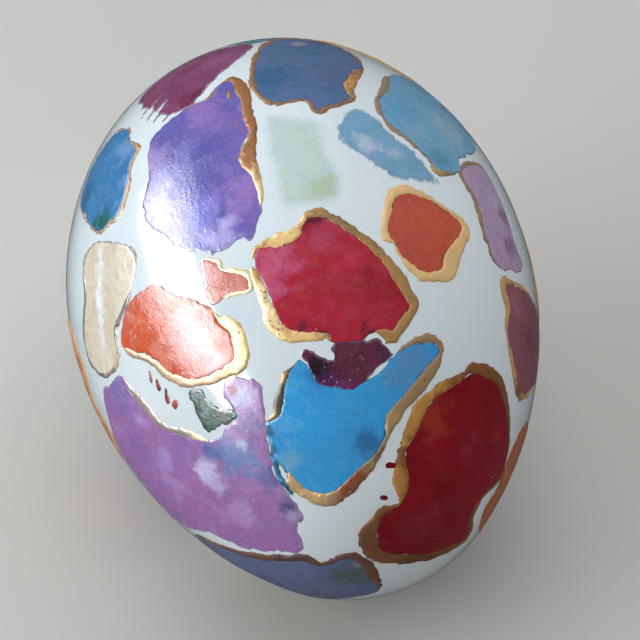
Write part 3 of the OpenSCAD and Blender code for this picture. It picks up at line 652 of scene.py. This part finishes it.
enamels = {
    "teal": {"shades": [(92, 132, 142), (110, 150, 158)], "mottle": 3, "ragged": 0.8},
    "burgundy": {"shades": [(126, 66, 98), (140, 76, 110), (132, 58, 92)], "mottle": 5, "stroke": 40,
                 "ragged": 1.5, "thinness": 0.5, "rimColour": (70, 28, 50),
                 "zones": [(0, -6, 2, (108, 36, 66), 0.8), (3, 1, 2.5, (152, 90, 126), 0.7)],
                 "dabs": [(-6, -2, 1.0, 0.18, 50), (-5.2, -3.5, 1.1, 0.2, 45), (-4.6, -5, 1.2, 0.2, 40),
                          (-3.6, -6.2, 0.9, 0.2, 35)],
                 "bare": [(-5.5, -2.6, 0.8, 0.15, 50), (-4.6, -4.2, 0.9, 0.16, 45)]},
    "slate": {"shades": [(82, 112, 150), (96, 114, 152), (72, 114, 156)], "mottle": 6,
              "rimColour": (60, 70, 100),
              "zones": [(-4.5, -2, 3, (60, 102, 142), 0.8), (2, -3, 3, (94, 104, 140), 0.7),
                        (1, 6, 1.2, (168, 156, 176), 0.8), (4, 7.5, 1.5, (70, 96, 110), 0.9),
                        (-2, -8, 1.5, (104, 112, 160), 0.7)]},
    "violet": {"shades": [(104, 98, 172), (122, 104, 178), (134, 106, 182)], "mottle": 8, "ragged": 1.3,
               "thinness": 0.4,
               # the pale zone low on the violet (0.5, -9) is painted highlight where the window's highlight
               # falls
               "zones": [(0, 1.5, 4.5, (94, 92, 165), 0.8), (-5, 4.5, 2.5, (148, 112, 180), 0.9),
                         (4, -5.5, 3, (152, 118, 188), 0.9), (-1.5, -6, 3, (134, 132, 222), 0.8),
                         (0.5, -9, 2, (192, 180, 238), 0.8), (2.5, 6, 3, (150, 118, 184), 0.8)]},
    "steelBlue": {"shades": [(70, 134, 186), (58, 122, 176)], "mottle": 5,
                  "zones": [(3.5, 1.5, 2, (124, 158, 204), 0.8), (-0.5, -5.5, 2, (36, 104, 92), 0.95),
                            (-3.5, 0.5, 2, (54, 98, 134), 0.7)]},
    "tan": {"shades": [(232, 218, 200), (222, 202, 178)], "mottle": 5, "stroke": 90,
            # the near-white zones in a streak down the tan are a painted reflection of a bright edge in the
            # gloss, not the paint's colour
            "zones": [(2.5, 4.5, 0.8, (246, 246, 246), 0.7), (1.8, 3.2, 0.9, (246, 246, 248), 0.8),
                      (1.1, 2, 0.9, (246, 246, 248), 0.8), (0.4, 0.8, 1, (250, 250, 252), 0.9),
                      (-0.3, -0.4, 1, (250, 250, 252), 0.9), (-1, -1.6, 0.9, (246, 246, 248), 0.8),
                      (-1.8, -2.7, 0.8, (244, 242, 240), 0.8), (-2.5, -3.8, 0.7, (240, 238, 236), 0.7)],
            "rimColour": (96, 88, 88), "rim": 0.9},
    "orange": {"shades": [(222, 98, 56), (214, 90, 64)], "mottle": 5, "stroke": 70,
               "zones": [(-2.5, 3, 2.5, (222, 96, 48), 0.9), (-4, 5, 1.5, (214, 112, 88), 0.7),
                         (2, -1.5, 2.8, (218, 136, 134), 0.9), (2.5, -5, 1.8, (218, 134, 140), 0.8),
                         (5, -4.5, 1.2, (216, 104, 90), 0.9), (-4.2, -4, 2.2, (112, 50, 62), 1)],
               "specks": 0.5, "speckSize": 0.5,
               "dabs": [(-4.7, -1.7, 0.5, 0.2, 60), (-4.4, -3, 0.7, 0.25, 70), (-4.1, -4.4, 0.7, 0.25, 60),
                        (-3.7, -5.6, 0.5, 0.4, 40)]},
    "salmon": {"shades": [(220, 138, 124), (212, 120, 104)], "mottle": 3, "specks": 0.4,
               "zones": [(-1.5, 1, 1.2, (226, 150, 150), 0.8)]},
    "crimson": {"shades": [(184, 44, 64), (176, 38, 54), (194, 54, 80)], "mottle": 6,
                "zones": [(-5, 2.5, 2.6, (202, 88, 124), 0.9), (-6, 0.5, 1.5, (194, 80, 114), 0.8),
                          (0, 4.5, 2.2, (180, 62, 94), 0.9), (4.5, -1.5, 3, (156, 34, 44), 0.8),
                          (-0.5, 6.2, 1.4, (98, 36, 50), 1), (-4, -4, 0.6, (104, 42, 60), 0.8),
                          (2.6, -6, 1, (88, 32, 50), 0.9)], "rimColour": (70, 24, 36), "rim": 0.7},
    "maroon": {"shades": [(98, 42, 62), (110, 52, 74), (84, 38, 58)], "mottle": 1.6, "pins": 1, "ragged": 1.3,
               "thinness": 0.2, "specks": 0.7, "speckSize": 0.45, "speckColour": (190, 182, 182),
               "zones": [(-3, 0.5, 1.8, (42, 28, 36), 1), (-2.3, -1.1, 1.2, (84, 40, 96), 0.9),
                         (-0.9, -1.9, 1, (116, 52, 110), 0.9), (3.5, 0.2, 1, (84, 42, 72), 0.8)]},
    "azure": {"shades": [(60, 166, 228), (66, 158, 218)], "mottle": 8,
              "zones": [(-4.5, 2, 3.5, (62, 170, 232), 0.8), (6, 4, 3, (92, 150, 200), 0.9),
                        (-2.5, 5, 1.6, (58, 116, 186), 0.8), (0, -2.5, 1.6, (52, 104, 160), 0.8),
                        (-7.6, -2.5, 1.2, (112, 170, 208), 0.8), (-9, 1, 0.7, (24, 88, 126), 0.9),
                        (-9.1, -1, 0.7, (24, 88, 126), 0.9), (-8.9, -3, 0.8, (24, 88, 126), 0.9),
                        (-8.4, -4.8, 0.8, (28, 92, 128), 0.9)], "rimColour": (30, 80, 110), "rim": 0.6,
              "dabs": [(-9.1, -2.2, 1.6, 0.25, 100), (-8.6, -4.4, 1.4, 0.25, 110)]},
    "mint": {"shades": [(212, 230, 228), (214, 230, 218), (210, 226, 202)], "mottle": 6, "rim": 0,
             "streak": 0.04, "ragged": 1, "body": 0.1, "grain": 0.03, "pins": 0.2, "fade": 2.5,
             "zones": [(2, -5, 2.5, (198, 214, 176), 0.8), (-2, 1, 2.5, (206, 228, 228), 0.6)]},
    "cloudBlue": {"shades": [(118, 164, 196), (132, 172, 204), (140, 176, 204)], "mottle": 4, "rim": 0,
                  "ragged": 2, "streak": 0.06, "body": 0.2, "grain": 0.03, "pins": 0.2,
                  "fade": 0.8, "spread": 0.3,
                  "zones": [(-2.5, 0, 1.5, (190, 200, 220), 0.9), (0.5, -1.5, 1, (172, 192, 214), 0.8),
                            (-1, -3.7, 1.2, (120, 162, 194), 0.7)]},
    "skyBlue": {"shades": [(114, 166, 200), (122, 170, 200), (136, 174, 198)], "mottle": 6,
                "zones": [(-5, -0.5, 2.5, (100, 160, 200), 0.8), (1.5, -1.5, 3, (152, 182, 200), 0.8),
                          (-2.5, -7, 1.5, (96, 146, 180), 0.8)]},
    "brick": {"shades": [(204, 94, 66), (190, 84, 70)], "mottle": 6, "rimColour": (66, 28, 26), "rim": 0.9,
              "ragged": 0.5},
    "lilac": {"shades": [(186, 164, 190), (178, 152, 182)], "mottle": 5,
              "zones": [(1.7, 0.5, 1.2, (146, 116, 144), 0.9), (1.8, -3, 1.4, (146, 116, 144), 0.9)]},
    "plum": {"shades": [(142, 82, 92), (152, 88, 102)], "mottle": 4,
             "zones": [(-4, 2, 1.5, (160, 100, 116), 0.8), (0.5, 0.5, 2.5, (126, 68, 78), 0.8)]},
    "garnet": {"shades": [(142, 12, 32), (130, 8, 24), (152, 20, 36)], "mottle": 7,
               "zones": [(-5, 5, 2.5, (160, 50, 36), 0.9), (0.5, 2.5, 1, (150, 40, 64), 0.7),
                         (0.8, 4, 0.8, (150, 40, 64), 0.6), (-1.5, -5, 2, (148, 34, 52), 0.7)],
               "rimColour": (60, 14, 18),
               "dabs": [(-7.3, -0.7, 0.6, 0.3, 20), (-6.9, -4, 0.35, 0.25, 0)]},
    "apricot": {"shades": [(190, 102, 56), (198, 112, 68)], "mottle": 4},
    "amethyst": {"shades": [(160, 118, 180), (172, 112, 172), (182, 148, 204)], "mottle": 6, "ragged": 1.4,
                 "thinness": 0.4, "streak": 0.35,
                 "zones": [(-2, 11, 3, (130, 114, 176), 0.8), (-4.5, 6.5, 2.5, (144, 110, 174), 0.7),
                           (-2, 2.5, 1.5, (182, 154, 212), 0.7), (-1, -1, 2, (174, 116, 176), 0.7),
                           (1, -3, 1.6, (204, 188, 232), 0.7), (0, -7, 2, (190, 158, 208), 0.6),
                           (2, -2, 1.6, (218, 208, 244), 0.8), (5.5, -4, 2.6, (92, 128, 186), 0.85),
                           (4, -1, 1.2, (82, 118, 178), 0.8), (9, -2.5, 1.8, (142, 122, 176), 0.8),
                           (10.8, -0.4, 1.3, (192, 188, 226), 0.8), (10.3, 1, 0.5, (150, 72, 62), 0.9),
                           (6, -7.5, 1.5, (96, 98, 158), 0.8), (4.7, -10.2, 1, (70, 78, 122), 0.8),
                           (4.1, -11.4, 0.8, (176, 166, 204), 0.8), (3.8, -12.7, 0.9, (84, 62, 76), 0.9),
                           (7, -3, 0.7, (206, 204, 232), 0.8)]},
    "moss": {"shades": [(64, 108, 88), (84, 84, 74), (112, 150, 132)], "mottle": 1.2, "ragged": 1.6,
             "specks": 0.5, "zones": [(0.8, -1.2, 1, (68, 72, 62), 0.8)]},
    "lavender": {"shades": [(106, 114, 150), (98, 106, 144), (96, 106, 126)], "mottle": 4,
                 "zones": [(-1, 5.5, 2.5, (108, 126, 160), 0.8), (2.5, -8.5, 2, (84, 98, 94), 0.9),
                           (4, -9, 0.5, (150, 160, 150), 0.8)]},
    "cobalt": {"shades": [(54, 84, 162), (70, 104, 178)], "mottle": 6},
    "rose": {"shades": [(186, 96, 112), (200, 124, 140)], "mottle": 5},
    "ochre": {"shades": [(190, 140, 70), (206, 160, 96)], "mottle": 6},
    "jade": {"shades": [(78, 146, 120), (98, 166, 140)], "mottle": 6},
    "scarlet": {"shades": [(190, 48, 44), (174, 40, 46)], "mottle": 6},
    "turquoise": {"shades": [(60, 158, 168), (84, 172, 178)], "mottle": 6},
    "mauve": {"shades": [(156, 118, 168), (140, 104, 158)], "mottle": 6},
    "peach": {"shades": [(222, 160, 130), (212, 142, 112)], "mottle": 6},
    "indigo": {"shades": [(60, 58, 122), (80, 78, 146)], "mottle": 6},
    "olive": {"shades": [(122, 130, 72), (140, 146, 92)], "mottle": 6},
}

golds = {
    "slate": {"bright": (168, 124, 88), "dull": (148, 112, 84), "pits": 0.8,
              "zones": [(3.2, -4.8, 2.2, (216, 158, 98), 1)]},
    "violet": {"bright": (176, 120, 74), "dull": (152, 100, 62), "wrinkle": 0.06,
               # the cream zone low on the violet's gold is painted highlight
               "zones": [(1.3, -7.5, 3.5, (246, 208, 152), 1), (-0.5, 7.3, 2, (168, 142, 128), 0.8)],
               "dabs": [(1.0, 2.2, 0.8, 0.14, 10), (0.8, 1.5, 0.9, 0.14, 0), (1.0, 0.8, 0.8, 0.13, -15),
                        (1.2, 6.6, 0.9, 0.3, 90)]},
    "steelBlue": {"bright": (172, 140, 112), "dull": (148, 116, 92),
                  "zones": [(5.2, -0.5, 1.5, (182, 136, 92), 0.9)]},
    "tan": {"bright": (124, 112, 108), "dull": (100, 92, 92),
            "zones": [(-1.5, -5.5, 3, (206, 180, 150), 0.9)]},
    "orange": {"bright": (196, 166, 130), "dull": (180, 150, 116), "pits": 0.5,
               # the cream zone on the right of the orange's gold is painted highlight
               "zones": [(5.5, -2.5, 3.4, (246, 214, 152), 1)]},
    # the salmon's gold is cream all round: painted highlight, where the window's highlight lies on it
    "salmon": {"bright": (240, 226, 182), "dull": (226, 206, 160)},
    "crimson": {"bright": (196, 150, 94), "dull": (176, 134, 84), "pits": 0.8,
                # the pale zones on the left of the crimson's gold are painted highlight and the darker ones
                # on the right are painted shade, as the window lights the left
                "zones": [(-3.5, 5.3, 3, (248, 208, 142), 1), (-6.5, -1, 3, (246, 216, 160), 1),
                          (-4.5, -5.5, 3, (240, 196, 132), 1), (2.5, 5.3, 2.4, (150, 118, 84), 0.9),
                          (5, 2.6, 1.4, (156, 122, 84), 0.8)]},
    "azure": {"bright": (186, 148, 108), "dull": (164, 132, 100), "pits": 0.5,
              "zones": [(-7.2, 4.6, 3.2, (82, 78, 62), 1), (-6.5, -5.3, 2, (216, 176, 120), 1),
                        (-2.5, -5.3, 2.2, (150, 84, 52), 1), (0.3, -2.8, 1.2, (110, 96, 84), 0.9),
                        (2.7, 0, 1.5, (196, 156, 108), 0.8)],
              "bare": [(-9.1, 0.3, 1.8, 0.6, 80), (-8.9, -2.4, 1.2, 0.6, 100)]},
    "skyBlue": {"bright": (178, 150, 124), "dull": (150, 130, 112),
                "zones": [(0.2, -7.6, 1.2, (208, 168, 114), 1)]},
    "brick": {"bright": (250, 210, 150), "dull": (244, 198, 136), "grain": 0.15, "pits": 0, "rim": 0.3},
    "lilac": {"bright": (188, 154, 122), "dull": (152, 124, 104), "pits": 0.7, "pitSize": 0.6},
    "plum": {"bright": (220, 176, 122), "dull": (208, 162, 110),
             "zones": [(1, -5, 2, (150, 104, 74), 1)]},
    "garnet": {"bright": (160, 104, 60), "dull": (134, 84, 48), "wrinkle": 0.04,
               "zones": [(-5, 5.5, 4, (206, 148, 76), 1), (-6, -2, 2.2, (198, 142, 70), 1),
                         (-6, -8, 2, (130, 84, 58), 0.9), (1, -9.8, 4, (122, 74, 42), 0.8),
                         (4, 9.5, 1.5, (136, 94, 50), 0.8)]},
    "apricot": {"bright": (190, 120, 70), "dull": (170, 104, 60)},
    "amethyst": {"bright": (168, 152, 142), "dull": (152, 138, 132),
                 "zones": [(2.6, -5, 1.8, (240, 214, 162), 1)]},
    "lavender": {"bright": (132, 92, 74), "dull": (112, 78, 66),
                 "zones": [(-1.5, 8.5, 2.2, (164, 108, 72), 0.9), (2.6, -1.5, 2.5, (94, 68, 74), 0.9),
                           (1.2, -9.8, 2, (142, 84, 50), 0.9)]},
    "cobalt": {}, "rose": {}, "ochre": {}, "jade": {}, "scarlet": {},
    "turquoise": {}, "mauve": {}, "peach": {}, "indigo": {}, "olive": {},
}


def nodeStem(name):
    return "".join("_" + c.lower() if c.isupper() else c for c in name)


def makeFilms():
    for index, (name, look) in enumerate(enamels.items()):
        look["seed"] = 11 * index + 5
        look.setdefault("spread", film["spread"])
        step = film["enamelStep"]
        piece, half = filmPiece(nodeStem(name) + "_enamel", name + "Enamel", look, enamelShape, step)
        piece.data.materials.append(enamelPaint(name + "Enamel", look, half))
        nodeStem(name) + "_enamel"
    for index, (name, look) in enumerate(golds.items()):
        look["seed"] = 13 * index + 8
        step = film["goldStep"]
        piece, half = filmPiece(nodeStem(name) + "_gold", name + "Gold", look, goldShape, step)
        piece.data.materials.append(goldPaint(name + "Gold", look, half))
    print("films made")


makeCamera()
makeLights()
makeFloor()
makeShells()
makeFilms()
